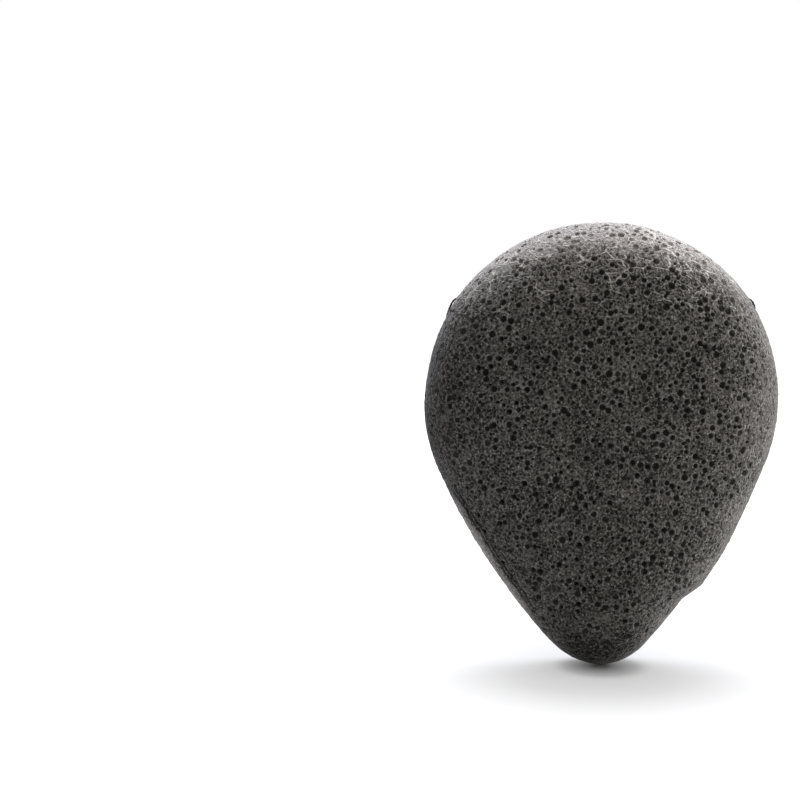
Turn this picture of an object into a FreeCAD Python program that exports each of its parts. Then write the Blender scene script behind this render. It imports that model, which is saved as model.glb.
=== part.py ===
import FreeCAD, Part
import math
import os

# Konjac sponge: a drop-shaped facial puff of charcoal-black konjac foam, domed in front and
# flat behind. One thin black cord runs through it from side to side near its broad end. Its
# two strands go round the edge, hang down behind the flat back and are tied in a knot.
# Millimetres, +Z up. The drop stands on its tip, its dome faces -Y and its flat back faces
# +Y. The origin is on the ground below the middle of the puff.

# Sponge
sponge_width = 79.0
sponge_height = 100.0
flank_radius = 150.0
tip_radius = 13.0
dome_depth = 20.0
back_depth = 10.0
crown_height = 57.0

# The dome and the back are the same outline, drawn in towards the crown. Each pair is a share
# of the depth and the share of the outline's size that is left there. Behind its rim the back
# swells very slightly past its depth and is pressed flat there, so the puff lies on a patch.
dome_profile_shares = [(1.0, 0.3), (0.92, 0.51), (0.765, 0.73), (0.56, 0.88), (0.31, 0.97)]
rim_profile_shares = [(0.42, 0.985), (0.7, 0.955), (0.88, 0.9)]
swell_profile_shares = [(0.955, 0.72), (0.995, 0.5), (1.01, 0.28)]

# Cord and the tunnel that it runs through
cord_diameter = 0.5
tunnel_clearance = 0.2
tunnel_below_top = 17.5
tunnel_before_back = 6.0
cord_proud = 0.2
arc_run_share = 0.45

# Knot and tails
knot_width = 2.2
knot_length = 2.4
knot_end_width = 1.3
knot_gap = 0.3
knot_below_tunnel = 59.0
strand_gap = 0.1

# The right strand's route, chosen by hand. The first points are offsets from the cord's exit:
# out of the side, round the edge and down behind it. The others are offsets from the top of
# the knot, where the strand ends. Each is (out, back, up).
edge_route = [
    (0.7, 0.0, 0.0),
    (1.39, 0.14, -0.27),
    (1.89, 0.39, -0.77),
    (2.13, 0.74, -1.45),
    (2.25, 1.45, -2.55),
    (2.5, 2.9, -4.4),
    (2.7, 5.1, -6.9),
    (2.2, 7.3, -10.7),
]
hanging_route = [
    (31.2, 0.7, 43.4),
    (27.0, 0.6, 35.2),
    (20.8, 0.4, 26.6),
    (13.6, 0.2, 18.4),
    (6.9, 0.0, 11.4),
    (2.2, 0.0, 6.2),
    (0.2, 0.0, 2.4),
]

# One tail's route, as offsets from where it leaves the bottom of the knot
tail_route = [
    (0.1, 0.0, -1.5),
    (0.7, 0.2, -3.2),
    (1.7, 0.2, -5.2),
]

top_radius = sponge_width / 2
top_centre = sponge_height - top_radius
widest_y = (dome_depth - back_depth) / 2
back_y = widest_y + back_depth
tunnel_height = sponge_height - tunnel_below_top
tunnel_y = back_y - tunnel_before_back
knot_y = back_y + knot_gap + knot_width / 2
knot_top = tunnel_height - knot_below_tunnel
strand_offset = (cord_diameter + strand_gap) / 2


def flank_centre():
    """Centre (x, z) of the right flank's arc, which touches the round end and the tip inside."""
    to_top = flank_radius - top_radius
    to_tip = flank_radius - tip_radius
    squares = to_tip**2 - to_top**2 + top_centre**2 - tip_radius**2
    z = squares / (2 * (top_centre - tip_radius))
    x = -math.sqrt(to_top**2 - (z - top_centre) ** 2)
    return x, z


def on_circle(centre, radius, angle):
    """The point (x, z) of a circle at an angle measured from +X towards +Z."""
    return centre[0] + radius * math.cos(angle), centre[1] + radius * math.sin(angle)


def drop_outline(y, size_share):
    """The drop in a plane of constant y: round end, two flanks and tip, in tangent arcs."""
    flank = flank_centre()
    round_angle = math.atan2(top_centre - flank[1], -flank[0])
    tip_angle = math.atan2(tip_radius - flank[1], -flank[0])
    apex_angle = math.pi / 2
    right = [
        on_circle((0, top_centre), top_radius, (apex_angle + round_angle) / 2),
        on_circle((0, top_centre), top_radius, round_angle),
        on_circle(flank, flank_radius, (round_angle + tip_angle) / 2),
        on_circle((0, tip_radius), tip_radius, tip_angle),
    ]
    left = [(-x, z) for x, z in reversed(right)]
    ring = [(0, sponge_height), *right, (0, 0), *left, (0, sponge_height)]
    points = [
        FreeCAD.Vector(x * size_share, y, crown_height + (z - crown_height) * size_share)
        for x, z in ring
    ]
    starts = range(0, len(points) - 1, 2)
    return Part.Wire([Part.Arc(*points[i : i + 3]).toShape() for i in starts])


def sections(depth, profile_shares):
    """Outlines between the widest one and a depth of the dome (negative) or the back."""
    return [drop_outline(widest_y + depth * deep, size) for deep, size in profile_shares]


def sponge_blank():
    """The sponge before the cord is threaded: the dome and its rim, and the back's swell."""
    dome = sections(-dome_depth, dome_profile_shares)
    rim = sections(back_depth, rim_profile_shares)
    back = [rim[-1], *sections(back_depth, swell_profile_shares)]
    puff = Part.makeLoft([*dome, drop_outline(widest_y, 1), *rim], True, False)
    swell = Part.makeLoft(back, True, False)
    corner = FreeCAD.Vector(-sponge_width, back_y, -sponge_height)
    pressed = Part.makeBox(2 * sponge_width, back_depth, 3 * sponge_height, corner)
    return puff.fuse(swell).cut(pressed)


def cylinder_along_x(radius, half_length):
    """A cylinder about the tunnel's axis, as far to the left as to the right."""
    start = FreeCAD.Vector(-half_length, tunnel_y, tunnel_height)
    return Part.makeCylinder(radius, 2 * half_length, start, FreeCAD.Vector(1, 0, 0))


def exit_distance(blank):
    """How far from the middle the cord leaves the side of the sponge."""
    ends = [FreeCAD.Vector(side * sponge_width, tunnel_y, tunnel_height) for side in (-1, 1)]
    return Part.makeLine(*ends).common(blank).Length / 2 + cord_proud


def sponge_body(blank):
    """The finished puff, with the tunnel that the cord was pulled through."""
    return blank.cut(cylinder_along_x(cord_diameter / 2 + tunnel_clearance, sponge_width))


def cord_path(points):
    """Straight runs joined by tangent arcs, as large as the runs allow, and the least radius."""
    edges = []
    least_radius = math.inf
    start = points[0]
    for before, corner, after in zip(points, points[1:], points[2:]):
        run_in = corner - before
        run_out = after - corner
        half_turn = run_in.getAngle(run_out) / 2
        reach = arc_run_share * min(run_in.Length, run_out.Length)
        radius = reach / math.tan(half_turn)
        least_radius = min(least_radius, radius)
        run_in.normalize()
        run_out.normalize()
        inward = (run_out - run_in).normalize()
        arc_start = corner - run_in * reach
        arc_middle = corner + inward * (radius / math.cos(half_turn) - radius)
        arc_end = corner + run_out * reach
        edges.append(Part.LineSegment(start, arc_start).toShape())
        edges.append(Part.Arc(arc_start, arc_middle, arc_end).toShape())
        start = arc_end
    edges.append(Part.LineSegment(start, points[-1]).toShape())
    return Part.Wire(edges), least_radius


def cord_tube(points, name):
    """Cord along a route, with its length, least radius and volume printed as a check."""
    path, least_radius = cord_path(points)
    ring = Part.makeCircle(cord_diameter / 2, points[0], points[1] - points[0])
    tube = path.makePipeShell([Part.Wire(ring)], True, False)
    section = math.pi * cord_diameter**2 / 4
    print(
        f"{name}: length {path.Length:.2f}, least radius {least_radius:.2f},",
        f"volume {tube.Volume:.3f} for {section * path.Length:.3f}, valid {tube.isValid()}",
    )
    return tube


def moved(corner, offsets, side):
    """Route points from offsets to a corner, on the right (side 1) or mirrored (side -1)."""
    x, y, z = corner
    return [FreeCAD.Vector(side * (x + out), y + back, z + up) for out, back, up in offsets]


def strand(side, exit_x):
    """One strand of the cord, from its exit to the top of the knot."""
    points = moved((exit_x, tunnel_y, tunnel_height), [(0, 0, 0), *edge_route], side)
    points += moved((strand_offset, knot_y, knot_top), [*hanging_route, (0, 0, 0)], side)
    return cord_tube(points, "left strand" if side < 0 else "right strand")


def knot():
    """The overhand knot, as a barrel with flat ends that the strands and the tails meet."""
    end = FreeCAD.Vector(knot_end_width / 2, 0, knot_length / 2)
    belly = FreeCAD.Vector(knot_width / 2, 0, 0)
    foot = FreeCAD.Vector(knot_end_width / 2, 0, -knot_length / 2)
    top = FreeCAD.Vector(0, 0, knot_length / 2)
    bottom = FreeCAD.Vector(0, 0, -knot_length / 2)
    profile = [
        Part.makeLine(top, end),
        Part.Arc(end, belly, foot).toShape(),
        Part.makeLine(foot, bottom),
        Part.makeLine(bottom, top),
    ]
    face = Part.Face(Part.Wire(profile))
    barrel = face.revolve(FreeCAD.Vector(0, 0, 0), FreeCAD.Vector(0, 0, 1), 360)
    barrel.translate(FreeCAD.Vector(0, knot_y, knot_top - knot_length / 2))
    return barrel


def tail(side):
    """One of the two cut ends below the knot."""
    corner = (strand_offset, knot_y, knot_top - knot_length)
    name = "left tail" if side < 0 else "right tail"
    return cord_tube(moved(corner, [(0, 0, 0), *tail_route], side), name)


def main():
    os.makedirs("parts", exist_ok=True)
    blank = sponge_blank()
    exit_x = exit_distance(blank)
    nodes = {
        "sponge_body": sponge_body(blank),
        "cord_core_run": cylinder_along_x(cord_diameter / 2, exit_x),
        "cord_left_strand": strand(-1, exit_x),
        "cord_right_strand": strand(1, exit_x),
        "cord_knot": knot(),
        "cord_tails": Part.Compound([tail(-1), tail(1)]),
    }
    for name, shape in nodes.items():
        shape.exportStep(f"parts/{name}.step")
        box = shape.BoundBox
        print(
            f"{name}: valid {shape.isValid()}, volume {shape.Volume:.2f},",
            f"x {box.XMin:.2f} to {box.XMax:.2f}, y {box.YMin:.2f} to {box.YMax:.2f},",
            f"z {box.ZMin:.2f} to {box.ZMax:.2f}",
        )
    print(f"cord leaves the sponge at x = {exit_x:.3f}")


main()
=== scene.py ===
import math
import bpy
import numpy as np
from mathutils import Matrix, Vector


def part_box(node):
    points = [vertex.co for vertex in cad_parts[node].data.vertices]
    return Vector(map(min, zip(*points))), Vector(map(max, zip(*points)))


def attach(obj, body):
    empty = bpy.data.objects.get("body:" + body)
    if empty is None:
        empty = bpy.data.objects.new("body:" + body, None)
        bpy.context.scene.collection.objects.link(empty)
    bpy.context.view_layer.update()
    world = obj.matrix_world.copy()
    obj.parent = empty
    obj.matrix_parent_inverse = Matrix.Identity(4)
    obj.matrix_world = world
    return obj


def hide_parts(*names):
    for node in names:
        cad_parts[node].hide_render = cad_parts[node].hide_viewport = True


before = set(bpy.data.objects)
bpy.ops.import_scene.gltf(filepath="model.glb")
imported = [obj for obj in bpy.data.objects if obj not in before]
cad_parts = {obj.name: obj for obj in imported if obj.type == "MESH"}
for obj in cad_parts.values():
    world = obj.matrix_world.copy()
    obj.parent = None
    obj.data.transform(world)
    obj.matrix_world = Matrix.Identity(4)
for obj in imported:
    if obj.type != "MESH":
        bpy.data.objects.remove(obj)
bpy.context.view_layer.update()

# Sponge body
# The puff is one piece of konjac foam with bamboo charcoal stirred in, set in a drop-shaped
# mould with a domed front and a flat back, then frozen, thawed and dried. Its froth stays
# open as round pores, and the skin between them dries in fine cells and wrinkles.
MM = 0.001
puff_low, puff_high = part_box("sponge_body")
puff_height = puff_high.z - puff_low.z
round_radius = (puff_high.x - puff_low.x) / 2
round_centre = puff_height - round_radius
flank_radius = 150 * MM
tip_radius = 13 * MM
crown_height = 57 * MM
widest_y = 5 * MM
dome_depth = widest_y - puff_low.y
back_depth = puff_high.y - widest_y
dome_power = 2.3
rim_inner_power, rim_outer_power = 16, 2.2
back_crown_share = 0.12
mesh_steps = 600
profile_steps = 4001

# The froth: the bubbles' cells and sizes, the film over some of them, and the lips of the pores
lip_width = 0.16 * MM
lip_least_mouth = 0.25 * MM
froth_cell = 1.14 * MM
bubble_radii = (0.25 * MM, 0.9 * MM)
small_share = 1.65
film_share = 0.2
opening_draws = (0.12, 0.5)
thinnest_mouth = 0.01 * MM
froth_seed = 11
least_gap = 1.1
pore_most_depth = 1.1 * MM


def edge_reach(turn):
    """How far the drop's outline is from its crown, in the direction that is turned from straight
    up by an angle. The outline is tangent arcs: round end, flank and tip. Along a direction d, an
    arc of radius r about m is met at b + sqrt(b*b - |m|*|m| + r*r), where b is d times m and m is
    measured from the crown."""
    turn = np.arccos(np.cos(turn))
    to_round = flank_radius - round_radius
    to_tip = flank_radius - tip_radius
    squares = to_tip**2 - to_round**2 + round_centre**2 - tip_radius**2
    flank_z = squares / (2 * (round_centre - tip_radius))
    flank_x = -math.sqrt(to_round**2 - (round_centre - flank_z) ** 2)
    arcs = [
        (round_radius, 0, round_centre),
        (flank_radius, flank_x, flank_z),
        (tip_radius, 0, tip_radius),
    ]
    joins = []
    for radius, _, z in (arcs[0], arcs[2]):
        away = np.array([-flank_x, z - flank_z])
        join = np.array([0, z]) + away / np.linalg.norm(away) * radius
        joins.append(math.atan2(join[0], join[1] - crown_height))
    reaches = []
    for radius, x, z in arcs:
        along = np.sin(turn) * x + np.cos(turn) * (z - crown_height)
        squares = along**2 - x**2 - (z - crown_height) ** 2 + radius**2
        reaches.append(along + np.sqrt(np.maximum(squares, 0)))
    return np.select([turn < joins[0], turn < joins[1]], reaches[:2], reaches[2])


def dome_share(size):
    """Depth of the dome as a share, where the outline has shrunk to a share of its size: the
    superellipse (1 - size^p)^(1/p)."""
    return (1 - size**dome_power) ** (1 / dome_power)


def back_share(size):
    """Depth of the back as a share: a tight rim (1 - size^a)^(1/b), and behind it a very slight
    swell that falls off with the fourth power of the size."""
    rim = (1 - size**rim_inner_power) ** (1 / rim_outer_power)
    return rim * (1 - back_crown_share * size**4)


def even_rings(ring, share, depth):
    """Size and depth shares of rings that are evenly spaced over the surface. The profile's
    length is summed over short chords from the middle to the rim, and each ring is found at its
    own part of that length."""
    size = 1 - (1 - np.linspace(0, 1, profile_steps)) ** 4
    deep = share(size)
    chords = np.hypot(np.diff(size) * round_radius, np.diff(deep) * depth)
    length = np.concatenate([[0], np.cumsum(chords)])
    length /= length[-1]
    return np.interp(ring, length, size), np.interp(ring, length, deep)


def puff_surface(steps):
    """Points and quads of the smooth puff. Two square grids, front and back, are bent into
    concentric rings: a point's ring is the larger of its two coordinates, and its turn grows
    evenly along each side of the ring. They share their outermost ring as the rim. The last two
    results are the corners' places on the front and the back grid, for the map."""
    line = np.linspace(-1, 1, steps + 1)
    across, up = [grid.ravel() for grid in np.meshgrid(line, line)]
    ring = np.maximum(np.abs(across), np.abs(up))
    wide = np.abs(across) > np.abs(up)
    greater = np.where(wide, across, up)
    lean = np.pi / 4 * np.where(wide, up, across) / np.where(greater == 0, 1, greater)
    level = np.pi / 2 * np.sign(across) - lean
    turn = np.where(wide, level, np.where(up < 0, np.pi, 0) + lean)
    reach = edge_reach(turn)
    sides = []
    for share, depth, way in ((dome_share, dome_depth, -1), (back_share, back_depth, 1)):
        size, deep = even_rings(ring, share, depth)
        x = size * reach * np.sin(turn)
        z = crown_height + size * reach * np.cos(turn)
        sides.append(np.stack([x, widest_y + way * depth * deep, z], 1))
    number = np.arange(len(ring)).reshape(steps + 1, steps + 1)
    corners = [number[:-1, :-1], number[:-1, 1:], number[1:, 1:], number[1:, :-1]]
    front = np.stack(corners, -1).reshape(-1, 4)
    inside = ring < 1
    own_number = len(ring) + np.cumsum(inside) - 1
    back_number = np.where(inside, own_number, np.arange(len(ring)))
    back = back_number[front[:, ::-1]]
    grid_places = np.stack([across, up], 1) / 2 + 0.5
    return (
        np.concatenate([sides[0], sides[1][inside]]),
        np.concatenate([front, back]),
        grid_places[front],
        grid_places[front[:, ::-1]],
    )


def quad_mesh(name, points, quads):
    """A smooth-shaded mesh object of quads, in the scene."""
    mesh = bpy.data.meshes.new(name)
    mesh.vertices.add(len(points))
    mesh.vertices.foreach_set("co", points.astype(np.float32).ravel())
    mesh.loops.add(quads.size)
    mesh.loops.foreach_set("vertex_index", quads.astype(np.int32).ravel())
    mesh.polygons.add(len(quads))
    mesh.polygons.foreach_set("loop_start", np.arange(0, quads.size, 4, dtype=np.int32))
    mesh.polygons.foreach_set("use_smooth", np.ones(len(quads), bool))
    mesh.update(calc_edges=True)
    piece = bpy.data.objects.new(name, mesh)
    bpy.context.scene.collection.objects.link(piece)
    return piece


def soft_noise(points, cell, seed):
    """A smooth random field from -1 to 1: random values at the corners of a lattice, blended by
    the smoothstep of a point's place between its eight corners."""
    place = points / cell
    corner = np.floor(place).astype(int)
    part = place - corner
    part = part * part * (3 - 2 * part)
    corner -= corner.min(0)
    values = np.random.default_rng(seed).uniform(-1, 1, corner.max(0) + 2)
    total = np.zeros(len(points))
    for step in np.ndindex(2, 2, 2):
        share = np.where(step, part, 1 - part).prod(1)
        total += share * values[tuple((corner + step).T)]
    return total


def rise(value, low, high):
    """Smoothstep: 0 below the low value, 1 above the high one, and 3t^2 - 2t^3 between them."""
    part = np.clip((value - low) / (high - low), 0, 1)
    return part * part * (3 - 2 * part)


def open_bubbles(points, outward, cell, radii, seed):
    """How deep each point sinks into a froth, and how near it is to a pore's lip. Each cell of a
    lattice has one bubble at a random place, and of two that meet the smaller one shrinks until
    they hardly overlap. Where a bubble meets the skin it leaves a round mouth, and below it half an
    ellipsoid as deep as the bubble's floor: depth times sqrt(1 - (distance from the mouth's
    middle / mouth radius)^2). Some are nearly closed by a thin film and stay shallow."""
    draw = np.random.default_rng(seed)
    first = np.floor(points / cell).astype(int) - 1
    lowest = first.min(0)
    room = first.max(0) - lowest + 3
    middles = draw.uniform(0, 1, (*room, 3))
    least, most = radii
    sizes = least + (most - least) * draw.uniform(0, 1, room) ** small_share
    opened = film_share + (1 - film_share) * rise(draw.uniform(0, 1, room), *opening_draws)
    for step in np.ndindex(5, 5, 5):
        shift = tuple(2 - number for number in step)
        other_middles = np.roll(middles, shift, (0, 1, 2)) - shift
        gap = np.linalg.norm(other_middles - middles, axis=3) * cell * least_gap
        other = np.roll(sizes, shift, (0, 1, 2))
        sizes = np.where(sizes < other, np.clip(gap - other, 0, sizes), sizes)
    depth = np.zeros(len(points))
    lip = np.zeros(len(points))
    for step in np.ndindex(3, 3, 3):
        here = first + step
        index = tuple((here - lowest).T)
        away = points - (here + middles[index]) * cell
        radius = sizes[index]
        sunk = (away * outward).sum(1)
        met = np.abs(sunk) < radius
        aside = np.sqrt(np.maximum((away**2).sum(1) - sunk**2, 0))
        mouth = np.sqrt(np.maximum(radius**2 - sunk**2, 0))
        share = aside / np.maximum(mouth, thinnest_mouth)
        bowl = (radius + sunk) * np.sqrt(np.maximum(1 - share**2, 0))
        depth = np.maximum(depth, met * bowl * opened[index])
        near = np.exp(-(((aside - mouth) / lip_width) ** 2))
        lip = np.maximum(lip, near * np.clip(mouth / lip_least_mouth - 1, 0, 1))
    return depth, lip


def off_route(points, route):
    """How far each point is, seen from the front, to the left of a line of straight runs given in
    millimetres, and how far along the line that is as a share. On each run the nearest place is
    the point's projection, held between the run's ends."""
    seen = points[:, [0, 2]]
    off = np.full(len(seen), np.inf)
    along = np.zeros(len(seen))
    for number, ends in enumerate(zip(route, route[1:])):
        start, end = np.array(ends) * MM
        run = end - start
        part = np.clip((seen - start) @ run / (run @ run), 0, 1)
        away = seen - start - part[:, None] * run
        distance = np.linalg.norm(away, axis=1) * np.sign(run[1] * away[:, 0] - run[0] * away[:, 1])
        along = np.where(np.abs(distance) < np.abs(off), (number + part) / (len(route) - 1), along)
        off = np.where(np.abs(distance) < np.abs(off), distance, off)
    return off, along


crease_route = [
    (-33.5, 42.0),
    (-30.9, 37.8),
    (-28.4, 33.7),
    (-25.9, 29.6),
    (-23.6, 25.9),
    (-20.6, 21.2),
    (-18.0, 17.8),
    (-15.5, 13.8),
    (-12.3, 8.9),
]

points, quads, front_places, back_places = puff_surface(mesh_steps)
puff = quad_mesh("konjac_puff", points, quads)
outward = np.zeros(points.size, np.float32)
puff.data.vertices.foreach_get("normal", outward)
outward = outward.reshape(-1, 3).astype(float)
x, y, z = points.T

# Lumps, which are only hollows on the back, a fuller left side, a bulge that ends in a notch low
# on the right, a flatter broad end, and a double crease beside the lower left edge. Limits in
# millimetres are heights and depths on the puff, and plain ones say how far the skin faces a way.
broad_lump, broad_cell = 0.16 * MM, 21 * MM
small_lump, small_cell = 0.12 * MM, 7 * MM
left_fullness = 0.7 * MM
bulge_height = 1.6 * MM
notch_low, notch_high = 14.5 * MM, 19.5 * MM
broad_end_drop = 0.4 * MM
crease_spacing = 0.33 * MM
crease_width = 0.17 * MM
crease_depth = 0.3 * MM
lumps = broad_lump * soft_noise(points, broad_cell, 1) + small_lump * soft_noise(points, small_cell, 2)
lumps -= np.abs(lumps) * rise(y, widest_y, puff_high.y)
full = rise(-outward[:, 0], 0.3, 0.9) * rise(z, 0, 8 * MM) * rise(-z, -70 * MM, -54 * MM)
lumps += left_fullness * full
bulge = rise(-z, -47 * MM, -20 * MM) * rise(z, notch_low, notch_high)
lumps += bulge_height * bulge * rise(outward[:, 0], 0.2, 0.8)
lumps -= broad_end_drop * rise(outward[:, 2], 0.5, 1)
left_of_crease, along_crease = off_route(points, crease_route)
ends_of_crease = rise(along_crease, 0, 0.12) * rise(-along_crease, -1, -0.75) * (y < widest_y)
off_crease = np.abs(np.abs(left_of_crease) - crease_spacing)
creased = np.exp(-((off_crease / crease_width) ** 2)) * ends_of_crease
lumps -= crease_depth * creased

# The strip of torn, fraying skin outside the crease, which fades out raggedly, and the smoother skin
# of the crown, the two sides and the rim. Painted light goes on the crown, the right side and the
# strip, partly as the strip's own paleness, and painted shade on the left side and at the tip.
ragged = soft_noise(points, 3 * MM, 6)
beyond_crease = rise(left_of_crease, 0.35 * MM, 0.75 * MM)
beyond_crease *= rise(-y + 2 * MM * ragged, -10 * MM, -3 * MM)
beyond_crease *= rise(along_crease + 0.04 * ragged, 0, 0.12)
beyond_crease *= rise(0.06 * ragged - along_crease, -1, -0.88)
# Paleness of the strip, partly its torn skin and partly painted light, palest towards its outer edge
fray_and_light = 0.22 + 0.35 * soft_noise(points, 0.5 * MM, 5)
fray_and_light += 0.6 * rise(left_of_crease, 0.6 * MM, 2.6 * MM)
front_side = rise(-y, -13 * MM, -6 * MM)
crown = rise(outward[:, 2], 0.42, 0.82) * (0.4 + 0.6 * front_side)
# The right side's smoother skin, which also gets a painted sheen
right_skin_and_sheen = rise(outward[:, 0], 0.2, 0.85)
# Painted shade: the tip darker near the floor
tip_shade = rise(-z, -10 * MM, -2 * MM)
# The left side's smoother skin, which also gets painted shade
left_skin_and_shade = rise(-outward[:, 0], 0.4, 1)
left_skin_and_shade *= rise(z, 26 * MM, 58 * MM) * rise(-z, -92 * MM, -68 * MM)
near_rim = rise(-np.abs(y - widest_y), -5 * MM, -1 * MM)

# The froth's open bubbles, shallow near the rim and the tip and under the smoother skin, and the
# fine grain between them
grain_height, grain_cell = 0.06 * MM, 0.9 * MM
fine_grain_height, fine_grain_cell = 0.035 * MM, 0.45 * MM
lip_height = 0.05 * MM
openness = 0.3 + 0.7 * rise(np.abs(y - widest_y), 4 * MM, 15 * MM)
openness = np.maximum(openness, crown)
openness *= 0.5 + 0.5 * rise(z, 3 * MM, 12 * MM)
openness *= (1 - 0.3 * crown) * (1 - 0.5 * left_skin_and_shade)
openness *= (1 - 0.55 * right_skin_and_sheen) * (1 - 0.6 * beyond_crease)
pore_depth, pore_lip = open_bubbles(points, outward, froth_cell, bubble_radii, froth_seed)
pore_depth = openness * np.minimum(pore_depth, pore_most_depth)
pore_lip *= (pore_depth == 0) * openness
roughened = grain_height * soft_noise(points, grain_cell, 3)
roughened += fine_grain_height * soft_noise(points, fine_grain_cell, 4)
roughened *= (0.3 + 0.7 * rise(z, 2 * MM, 14 * MM)) * (1 + 0.9 * near_rim)
roughened *= 1 - 0.5 * np.maximum(left_skin_and_shade, crown)
raised = lumps + (roughened + lip_height * pore_lip) * (pore_depth == 0) - pore_depth
points = points + outward * raised[:, None]
points[:, 2] = np.maximum(points[:, 2], 0)
puff.data.vertices.foreach_set("co", points.astype(np.float32).ravel())
# Marks that the colour reads, most of them painted light and shade
marks_and_painted_light = {
    # Painted shade in the pores, darker the deeper they are, and less dark at the crown as painted
    # light
    "pore": rise(pore_depth, 0.02 * MM, 0.24 * MM) * openness * (1 - 0.6 * crown),
    "lip": pore_lip,
    # Painted shade in the crease's grooves
    "crease": creased,
    # Painted light: the front lighter where its skin faces up towards the lamp
    "painted_top_light": rise(outward[:, 2], 0.18, 0.62) * front_side * (1 - right_skin_and_sheen),
    # Painted light on the crown, a painted sheen on the right side, painted shade on the left side and
    # at the tip, and on the strip beyond the crease its own paleness and painted light
    "light_shade_and_fray": np.maximum(0.5 * crown, fray_and_light * beyond_crease)
    + (0.1 - 0.1 * rise(outward[:, 2], 0.3, 0.7)) * right_skin_and_sheen
    - np.maximum(0.13 * left_skin_and_shade, 0.3 * tip_shade),
}
for name, values in marks_and_painted_light.items():
    marks = puff.data.attributes.new(name, "FLOAT", "POINT")
    marks.data.foreach_set("value", values.astype(np.float32))
bake_map = puff.data.uv_layers.new(name="OFBake")
front_uv = front_places.reshape(-1, 2) * (0.5, 1)
back_uv = back_places.reshape(-1, 2) * (0.5, 1) + (0.5, 0)
bake_map.data.foreach_set("uv", np.concatenate([front_uv, back_uv]).astype(np.float32).ravel())
puff.data.update()


def new_material(name):
    """A node material, its tree and its shader."""
    material = bpy.data.materials.new(name)
    material.use_nodes = True
    tree = material.node_tree
    return material, tree, tree.nodes["Principled BSDF"]


def node(tree, kind, **inputs):
    """Adds a node. Settings are given by their names in lower case, and sockets by index as
    i0, i1 and so on: a value sets the socket and another node's output is linked to it."""
    made = tree.nodes.new("ShaderNode" + kind)
    for key, value in inputs.items():
        if key[0] == "i" and key[1:].isdigit():
            socket = made.inputs[int(key[1:])]
            if isinstance(value, bpy.types.NodeSocket):
                tree.links.new(value, socket)
            else:
                socket.default_value = value
        else:
            setattr(made, key, value)
    return made


def band(tree, value, low, high, start=0.0, end=1.0):
    """Maps a value by smoothstep, from the start level at the low limit to the end level at the
    high limit."""
    made = node(tree, "MapRange", i0=value, i1=low, i2=high, i3=start, i4=end)
    made.interpolation_type = "SMOOTHSTEP"
    return made.outputs[0]


def math_of(tree, operation, *values, clamp=False):
    """The output of a math node on up to three values."""
    inputs = {f"i{number}": value for number, value in enumerate(values)}
    return node(tree, "Math", operation=operation, use_clamp=clamp, **inputs).outputs[0]


def mark(tree, name):
    """The value of one of the puff's marks."""
    return node(tree, "Attribute", attribute_name=name).outputs["Fac"]


def add_share(tree, total, value, weight, clamp=False):
    """The sum of a total and a weight times a value."""
    return math_of(tree, "MULTIPLY_ADD", value, weight, total, clamp=clamp)


foam_dark = (0.0065, 0.0059, 0.0046, 1)
foam_pale = (0.202, 0.188, 0.172, 1)
pore_shade_black = (0.0065, 0.006, 0.005, 1)
stir_per_metre, stir_reach = 650.0, 0.0009
cells_per_metre = 1150.0
fibres_per_metre = 1250.0
specks_per_metre = 1500.0
mottle_per_metre = 160.0
pinholes_per_metre, widest_pinhole = 620.0, 0.19
folds_per_metre, fold_patches_per_metre = 230.0, 330.0
fold_flattening = (1.0, 1.0, 2.2)
fold_low, fold_high = 0.074, 0.086
fold_front, fold_back = 0.003, 0.011
mottle_low, mottle_high = -0.135, -0.005
fibre_paleness = 0.38
wall_paleness = 0.2
speck_paleness = 0.55
lip_paleness = 0.35
light_shade_fray_paleness = 0.8
fold_highlight = 0.8
hole_shade_darkness = 0.75
top_light_boost = 0.62
bump_strength, bump_height = 0.9, 0.0002

foam, tree, skin = new_material("konjac_foam")
place = node(tree, "TexCoord").outputs["Object"]
_, depth_back, height = node(tree, "SeparateXYZ", i0=place).outputs
stir = node(tree, "TexNoise", i0=place, i2=stir_per_metre, i3=2.0).outputs["Color"]
stirred = node(tree, "VectorMath", operation="MULTIPLY_ADD", i0=stir, i1=(stir_reach,) * 3, i2=place)
stirred = stirred.outputs[0]

# Fine cells with bright walls, their darker middles partly painted shade in the hollows, fibres,
# specks and a broad mottle
cells = node(tree, "TexVoronoi", feature="DISTANCE_TO_EDGE", i0=stirred, i2=cells_per_metre)
walls = band(tree, cells.outputs["Distance"], 0.0, 0.24, 1.0, 0.0)
fibres = node(tree, "TexNoise", i0=stirred, i2=fibres_per_metre, i3=3.0, i4=0.7).outputs["Fac"]
fibres = band(tree, fibres, 0.4, 0.7)
specks = node(tree, "TexVoronoi", i0=place, i2=specks_per_metre)
speck_level = node(tree, "SeparateColor", i0=specks.outputs["Color"]).outputs[0]
specks = band(tree, specks.outputs["Distance"], 0.16, 0.42, 1.0, 0.0)
specks = math_of(tree, "MULTIPLY", specks, speck_level)
mottle = node(tree, "TexNoise", i0=place, i2=mottle_per_metre, i3=3.0).outputs["Fac"]
mottle = band(tree, mottle, 0.25, 0.75, mottle_low, mottle_high)

# Pinholes: small bubbles cut by the skin, drawn by the bump and by painted shade in them
pins = node(tree, "TexVoronoi", i0=stirred, i2=pinholes_per_metre)
pin_size = node(tree, "SeparateColor", i0=pins.outputs["Color"]).outputs[0]
pin_size = math_of(tree, "MULTIPLY", pin_size, widest_pinhole)
pin_depth = math_of(tree, "SUBTRACT", pin_size, pins.outputs["Distance"])
pinholes = band(tree, pin_depth, -0.02, 0.05)

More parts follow.
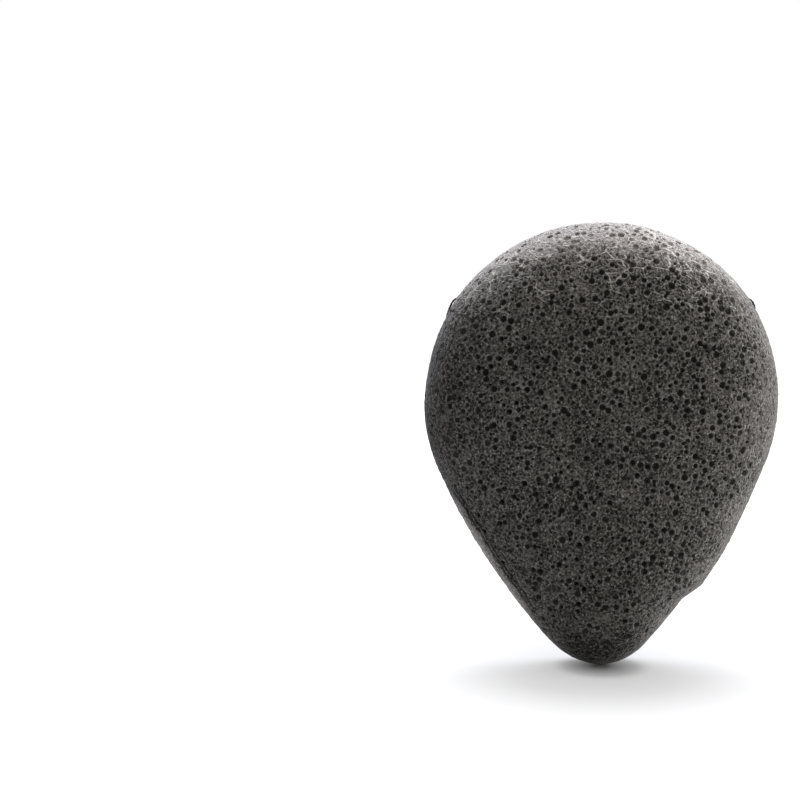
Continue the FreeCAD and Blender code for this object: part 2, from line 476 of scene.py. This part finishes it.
# Thin dried folds below the crown, in patches that fade out towards the back. Their pale colour is
# partly a painted highlight on the ridges.
folded = node(tree, "VectorMath", operation="MULTIPLY", i0=stirred, i1=fold_flattening).outputs[0]
folds = node(tree, "TexVoronoi", feature="DISTANCE_TO_EDGE", i0=folded, i2=folds_per_metre)
folds = band(tree, folds.outputs["Distance"], 0.012, 0.065, 1.0, 0.0)
patches = node(tree, "TexNoise", i0=place, i2=fold_patches_per_metre, i3=1.0).outputs["Fac"]
folds = math_of(tree, "MULTIPLY", folds, band(tree, patches, 0.48, 0.58))
folds = math_of(tree, "MULTIPLY", folds, band(tree, height, fold_low, fold_high))
folds = math_of(tree, "MULTIPLY", folds, band(tree, depth_back, fold_front, fold_back, 1.0, 0.3))

# Colour: dark to pale foam, with painted light and shade: painted shade black in the pores, pinholes
# and crease, and painted light that makes the broad end lighter where it faces up towards the lamps
paleness = add_share(tree, mottle, fibres, fibre_paleness)
paleness = add_share(tree, paleness, walls, wall_paleness)
paleness = add_share(tree, paleness, specks, speck_paleness)
paleness = add_share(tree, paleness, mark(tree, "lip"), lip_paleness)
# Painted light and shade, and the torn strip's own paleness
paleness = add_share(tree, paleness, mark(tree, "light_shade_and_fray"), light_shade_fray_paleness)
paleness = add_share(tree, paleness, folds, fold_highlight, clamp=True)
colour = node(tree, "Mix", data_type="RGBA", i0=paleness, i6=foam_dark, i7=foam_pale).outputs[2]
# Painted shade: black in the pores, the pinholes and the crease
holes = add_share(tree, mark(tree, "pore"), pinholes, hole_shade_darkness)
holes = add_share(tree, holes, mark(tree, "crease"), hole_shade_darkness, clamp=True)
colour = node(tree, "Mix", data_type="RGBA", i0=holes, i6=colour, i7=pore_shade_black).outputs[2]
# Painted light: the colour is scaled up where the broad end faces up
painted_top_light = add_share(tree, 1.0, mark(tree, "painted_top_light"), top_light_boost)
colour = node(tree, "VectorMath", operation="SCALE", i0=colour, i3=painted_top_light).outputs[0]
tree.links.new(colour, skin.inputs["Base Color"])

# Relief of the same cells, fibres, specks, folds and pinholes
relief = add_share(tree, fibres, walls, 0.35)
relief = add_share(tree, relief, specks, 0.5)
relief = add_share(tree, relief, folds, 1.6)
relief = add_share(tree, relief, pinholes, -1.2)
bump = node(tree, "Bump", i0=bump_strength, i1=bump_height, i3=relief)
tree.links.new(bump.outputs[0], skin.inputs["Normal"])
skin.inputs["Roughness"].default_value = 0.95
skin.inputs["Specular IOR Level"].default_value = 0.04
skin.inputs["Sheen Weight"].default_value = 0.2
skin.inputs["Sheen Roughness"].default_value = 0.35
puff.data.materials.append(foam)
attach(puff, "sponge")
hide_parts("sponge_body")

# Hanging cord
# One black waxed polyester thread of three plies, drawn through the sponge with a needle. Its
# middle runs straight through the foam, and a free strand comes out of each side, goes round
# the edge and hangs down behind the flat back.
run_low, run_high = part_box("cord_core_run")
knot_low, knot_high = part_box("cord_knot")
cord_diameter = run_high.z - run_low.z
exit_x = run_high.x
tunnel_y = (run_low.y + run_high.y) / 2
tunnel_z = (run_low.z + run_high.z) / 2
knot_y = (knot_low.y + knot_high.y) / 2
strand_offset = 0.3 * MM

# Routes in millimetres out, back and up. Both strands go round the edge from their exits, the
# right one in a slightly wider bend at first, and then hang down to the top of the knot.
edge_route = [
    (0.5, 0.0, -0.12),
    (0.98, 0.12, -0.52),
    (1.36, 0.36, -1.08),
    (1.66, 0.74, -1.75),
    (2.0, 1.45, -2.7),
    (2.5, 2.9, -4.4),
    (2.7, 5.1, -6.9),
    (2.2, 7.3, -10.7),
]
wide_edge_route = [
    (0.65, 0.0, -0.01),
    (1.38, 0.1, -0.3),
    (2.02, 0.32, -0.93),
    (2.42, 0.72, -1.73),
    (2.6, 1.45, -2.78),
]
wide_edge_route += edge_route[len(wide_edge_route):]
hanging_route = [
    (31.2, 0.7, 43.4),
    (27.0, 0.6, 35.2),
    (20.8, 0.4, 26.6),
    (13.6, 0.2, 18.4),
    (6.9, 0.0, 11.4),
    (2.2, 0.0, 6.2),
    (0.2, 0.0, 2.4),
]
tail_route = [(0.1, 0.0, -1.5), (0.7, 0.2, -3.2), (1.7, 0.2, -5.2)]
thread_sides = 30
thread_pitch = 2.4 * MM
plies = 3
strand_aside = (0, 1, 0)
core_steps = 400


def route_points(corner, offsets, side):
    """Points of a route, given in millimetres out, back and up from a corner."""
    offsets = np.array(offsets) * MM + corner
    return offsets * (side, 1, 1)


def smooth_line(name, points):
    """Points along the smooth line of a route, read from its NURBS spline of order 3."""
    curve = bpy.data.curves.new(name, "CURVE")
    curve.dimensions = "3D"
    spline = curve.splines.new("NURBS")
    spline.points.add(len(points) - 1)
    spline.points.foreach_set("co", np.c_[points, np.ones(len(points))].ravel())
    spline.order_u = 3
    spline.use_endpoint_u = True
    spline.resolution_u = 24
    guide = bpy.data.objects.new(name, curve)
    mesh = bpy.data.meshes.new_from_object(guide)
    line = np.empty(len(mesh.vertices) * 3, np.float32)
    mesh.vertices.foreach_get("co", line)
    bpy.data.objects.remove(guide)
    bpy.data.curves.remove(curve)
    bpy.data.meshes.remove(mesh)
    return line.reshape(-1, 3).astype(float)


def twisted_tube(line, diameter, aside):
    """Points, lengths and twist angles of a thread of touching round plies, carried along a line.
    At an angle from a ply's middle, its outer wall is c cos + sqrt(a*a - c*c sin*sin), where a is
    the ply's radius and c its middle's distance from the axis. The plies turn with the length."""
    steps = np.linalg.norm(np.diff(line, axis=0), axis=1)
    length = np.concatenate([[0], np.cumsum(steps)])
    forward = np.gradient(line, length, axis=0)
    forward /= np.linalg.norm(forward, axis=1)[:, None]
    across = np.cross(forward, aside)
    across /= np.linalg.norm(across, axis=1)[:, None]
    over = np.cross(across, forward)
    angle = np.linspace(0, 2 * np.pi, thread_sides, endpoint=False)
    spread = 1 / math.sin(math.pi / plies)
    ply_radius = diameter / 2 / (1 + spread)
    ply_middle = ply_radius * spread
    twist = angle[None, :] - 2 * np.pi * length[:, None] / thread_pitch
    off_ply = np.abs((twist + np.pi / plies) % (2 * np.pi / plies) - np.pi / plies)
    squares = ply_radius**2 - (ply_middle * np.sin(off_ply)) ** 2
    wall = (ply_middle * np.cos(off_ply) + np.sqrt(np.maximum(squares, 0)))[:, :, None]
    cosine, sine = np.cos(angle)[None, :, None], np.sin(angle)[None, :, None]
    ring = cosine * across[:, None] + sine * over[:, None]
    points = line[:, None] + ring * wall
    return points, length, twist


def thread_piece(name, lines, diameter):
    """One mesh object of twisted threads along the lines, each closed by a cap at both ends. The
    fibre attribute holds the length along each thread and the twist round it."""
    all_points, all_faces, all_places, start = [], [], [], 0
    for line, aside in lines:
        points, length, twist = twisted_tube(line, diameter, aside)
        count = len(line)
        number = start + np.arange(count * thread_sides).reshape(count, thread_sides)
        turned = np.roll(number, -1, axis=1)
        quads = np.stack([number[:-1], turned[:-1], turned[1:], number[1:]], -1).reshape(-1, 4)
        all_points += [points.reshape(-1, 3), line[[0, -1]]]
        first, last = start + count * thread_sides, start + count * thread_sides + 1
        caps = [(first, b, a) for a, b in zip(number[0], turned[0])]
        caps += [(last, a, b) for a, b in zip(number[-1], turned[-1])]
        all_faces += quads.tolist() + caps
        strands = np.repeat(length[:, None], thread_sides, 1)
        around = twist * diameter / 2
        all_places += [np.stack([strands, around], -1).reshape(-1, 2), np.zeros((2, 2))]
        start += count * thread_sides + 2
    mesh = bpy.data.meshes.new(name)
    mesh.from_pydata(np.concatenate(all_points).tolist(), [], all_faces)
    mesh.polygons.foreach_set("use_smooth", np.ones(len(mesh.polygons), bool))
    places = mesh.attributes.new("fibre", "FLOAT2", "POINT")
    places.data.foreach_set("vector", np.concatenate(all_places).astype(np.float32).ravel())
    mesh.update()
    piece = bpy.data.objects.new(name, mesh)
    bpy.context.scene.collection.objects.link(piece)
    return piece


fibre_stretch = (1500.0, 22000.0, 1.0)
thread_dark = (0.003, 0.003, 0.003, 1)
thread_worn = (0.014, 0.014, 0.015, 1)
thread_bump = 0.00004
thread_smooth, thread_rough = 0.45, 0.65
thread_black, tree, skin = new_material("black_waxed_thread")
fibre = node(tree, "Attribute", attribute_name="fibre").outputs["Vector"]
drawn_out = node(tree, "VectorMath", operation="MULTIPLY", i0=fibre, i1=fibre_stretch).outputs[0]
streaks = node(tree, "TexNoise", i0=drawn_out, i2=1.0, i3=3.0).outputs["Fac"]
colour = node(tree, "Mix", data_type="RGBA", i0=streaks, i6=thread_dark, i7=thread_worn)
tree.links.new(colour.outputs[2], skin.inputs["Base Color"])
bump = node(tree, "Bump", i0=0.5, i1=thread_bump, i3=streaks)
tree.links.new(bump.outputs[0], skin.inputs["Normal"])
rough = node(tree, "MapRange", i0=streaks, i3=thread_smooth, i4=thread_rough).outputs[0]
tree.links.new(rough, skin.inputs["Roughness"])
skin.inputs["Specular IOR Level"].default_value = 0.12

core_line = np.linspace((-exit_x, tunnel_y, tunnel_z), (exit_x, tunnel_y, tunnel_z), core_steps)
core_run = thread_piece("thread_core_run", [(core_line, strand_aside)], cord_diameter)
core_run.data.materials.append(thread_black)
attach(core_run, "hanging_loop")
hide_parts("cord_core_run")

strand_top = np.array([exit_x, tunnel_y, tunnel_z])
strand_end = np.array([strand_offset, knot_y, knot_high.z])
for side, word in ((-1, "left"), (1, "right")):
    around_edge = edge_route if side < 0 else wide_edge_route
    route = np.concatenate([
        route_points(strand_top, [(0, 0, 0), *around_edge], side),
        route_points(strand_end, [*hanging_route, (0, 0, 0)], side),
    ])
    line = smooth_line(f"{word}_route", route)
    strand = thread_piece(f"thread_{word}_strand", [(line, strand_aside)], cord_diameter)
    strand.data.materials.append(thread_black)
    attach(strand, "hanging_loop")
    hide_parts(f"cord_{word}_strand")

# Knot and tails
# The two strands are tied together in one overhand knot, pulled tight by hand. Below it the
# two ends are cut and singed, so that the plies don't fray.
knot_middle = np.array([0, knot_y, (knot_low.z + knot_high.z) / 2])
knot_reach = 0.386 * MM
knot_rise = 0.0597 * MM
knot_shift = 0.6 * MM
squeezed_diameter = 0.38 * MM
pair_offset = 0.18 * MM
knot_ends_at = 2.2
untied_from = 1.9
knot_steps = 260
knot_aside = (0.3, 0.9, 0.1)

# The knot's line is reach times t^3 - 3t across, reach times t^4 - 4t^2 back and rise times
# t^5 - 12t up, and its ends go over smoothly into the straight strands and tails
turns = np.linspace(-knot_ends_at, knot_ends_at, knot_steps)
knot_line = np.stack([
    knot_reach * (turns**3 - 3 * turns),
    knot_reach * (turns**4 - 4 * turns**2) + knot_shift,
    knot_rise * (turns**5 - 12 * turns),
], 1)
forward = np.gradient(knot_line, axis=0)
sideways = np.cross(forward, knot_line)
sideways /= np.linalg.norm(sideways, axis=1)[:, None]
leaving = rise(np.abs(turns), untied_from, knot_ends_at)[:, None]
knot_threads = []
for side in (-1, 1):
    tied = knot_line + side * pair_offset * sideways
    straight = knot_line * (0, 0, 1) + (side * strand_offset, 0, 0)
    path = knot_middle + tied * (1 - leaving) + straight * leaving
    knot_threads.append((path, knot_aside))
knot = thread_piece("thread_knot", knot_threads, squeezed_diameter)
knot.data.materials.append(thread_black)
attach(knot, "hanging_loop")
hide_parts("cord_knot")

tail_top = np.array([strand_offset, knot_y, knot_low.z])
tail_lines = []
for side in (-1, 1):
    route = route_points(tail_top, [(0, 0, 0), *tail_route], side)
    tail_lines.append((smooth_line("tail_route", route), strand_aside))
tails = thread_piece("thread_tails", tail_lines, cord_diameter)
tails.data.materials.append(thread_black)
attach(tails, "hanging_loop")
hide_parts("cord_tails")

# Floor, light and camera
# A white table that goes over into the white behind it. The puff's soft shadow on it is mostly a
# painted shadow: the table's white emission is darkened around the puff's foot, over a weak real
# shadow on its dark colour. A soft box hangs high behind the puff and one stands at its right, a
# narrow spot shines low from the left behind it, and a weak pale fill stands in front.
floor_side = 4.0
floor_bounce, floor_seen = 0.42, 0.045
shade_middle = (0.0, -0.0005, 0.0)
shade_narrowing = (1.45, 1.0, 0.0)
shade_reach = 0.14
# Painted shadow: the table's white emission level by distance from the puff's foot
painted_shadow_stops = [
    (0.0, 0.0),
    (0.015, 0.01),
    (0.05, 0.155),
    (0.082, 0.3),
    (0.1, 0.43),
    (0.118, 0.51),
    (0.17, 0.56),
    (0.24, 0.61),
    (0.3, 0.68),
    (0.36, 0.745),
    (0.42, 0.8),
    (0.54, 0.9),
    (1.0, 1.0),
]


def ramp(tree, value, stops):
    """Maps a value through a colour ramp of (place, grey) stops."""
    made = node(tree, "ValToRGB", i0=value)
    elements = made.color_ramp.elements
    for place, grey in stops[2:]:
        elements.new(place)
    for element, (place, grey) in zip(sorted(elements, key=lambda e: e.position), sorted(stops)):
        element.position = place
        element.color = (grey, grey, grey, 1)
    return made.outputs[0]


def seen_directly(tree):
    """1 for the rays by which a surface is seen, straight or through gloss or glass, else 0."""
    rays = node(tree, "LightPath").outputs
    seen = math_of(tree, "MAXIMUM", rays["Is Camera Ray"], rays["Is Glossy Ray"])
    return math_of(tree, "MAXIMUM", seen, rays["Is Transmission Ray"])


floor_mesh = bpy.data.meshes.new("table_top")
corner = floor_side / 2
floor_mesh.from_pydata(
    [(-corner, -corner, 0), (corner, -corner, 0), (corner, corner, 0), (-corner, corner, 0)],
    [],
    [(0, 1, 2, 3)],
)
floor = bpy.data.objects.new("table_top", floor_mesh)
bpy.context.scene.collection.objects.link(floor)
table, tree, skin = new_material("white_table")
skin.inputs["Roughness"].default_value = 0.9
skin.inputs["Emission Color"].default_value = (1, 1, 1, 1)
place = node(tree, "TexCoord").outputs["Object"]
narrowed = node(tree, "VectorMath", operation="MULTIPLY_ADD", i0=place, i1=shade_narrowing)
narrowed.inputs[2].default_value = shade_middle
from_foot = node(tree, "VectorMath", operation="LENGTH", i0=narrowed.outputs[0]).outputs["Value"]
seen = seen_directly(tree)
shade = node(tree, "MapRange", i0=seen, i3=floor_bounce, i4=floor_seen).outputs[0]
tree.links.new(shade, skin.inputs["Base Color"])
# Painted shadow: the ramp darkens the table's emission around the puff's foot, most at the contact
emission_with_painted_shadow = ramp(tree, math_of(tree, "DIVIDE", from_foot, shade_reach), painted_shadow_stops)
white = math_of(tree, "MULTIPLY", seen, emission_with_painted_shadow)
tree.links.new(white, skin.inputs["Emission Strength"])
floor_mesh.materials.append(table)

view_height = math.radians(5)
view_distance = 0.6
view_target = np.array([-0.0454, 0.005, 0.0598])
camera = bpy.data.cameras.new("camera")
camera.lens = 120
camera.sensor_width = 36
camera.clip_start = 0.01
viewer = bpy.data.objects.new("camera", camera)
towards_viewer = np.array([0, -math.cos(view_height), math.sin(view_height)])
viewer.location = view_target + view_distance * towards_viewer
viewer.rotation_euler = (math.pi / 2 - view_height, 0, 0)
bpy.context.scene.collection.objects.link(viewer)
bpy.context.scene.camera = viewer


def set_up(lamp, place, target):
    """Puts a lamp at a place and turns it towards a target."""
    stand = bpy.data.objects.new(lamp.name, lamp)
    away = np.array(place) - target
    stand.location = place
    lean = math.atan2(math.hypot(away[0], away[1]), away[2])
    stand.rotation_euler = (lean, 0, math.atan2(away[0], -away[1]))
    bpy.context.scene.collection.objects.link(stand)


def soft_box(name, place, size, watts, colour):
    """A rectangular area lamp that looks at the middle of the puff."""
    lamp = bpy.data.lights.new(name, "AREA")
    lamp.shape = "RECTANGLE"
    lamp.size, lamp.size_y = size
    lamp.energy = watts
    lamp.color = colour
    set_up(lamp, place, puff_middle)


puff_middle = (0, 0.005, 0.055)
soft_box("back_top", (0.02, 0.44, 0.78), (0.8, 0.7), 36.5, (0.87, 0.885, 1.0))
kicker = bpy.data.lights.new("left_kicker", "SPOT")
kicker.energy = 13
kicker.spot_size = math.radians(6)
kicker.spot_blend = 0.6
kicker.shadow_soft_size = 0.02
set_up(kicker, (-0.45, 0.28, 0.02), (-0.02, 0.01, 0.02))
soft_box("right_side", (0.75, 0.2, 0.08), (0.6, 0.6), 25, (1.0, 0.99, 0.985))
soft_box("front_fill", (0.3, -1.0, 0.5), (0.9, 0.9), 9.5, (1.0, 0.98, 0.94))

world_light, world_seen = 0.1, 1.0
world = bpy.data.worlds.new("studio")
world.use_nodes = True
bpy.context.scene.world = world
tree = world.node_tree
shown = tree.nodes["Background"]
level = node(tree, "MapRange", i0=seen_directly(tree), i3=world_light, i4=world_seen)
tree.links.new(level.outputs[0], shown.inputs["Strength"])
shown.inputs["Color"].default_value = (1, 1, 1, 1)
bpy.context.scene.view_settings.view_transform = "Standard"
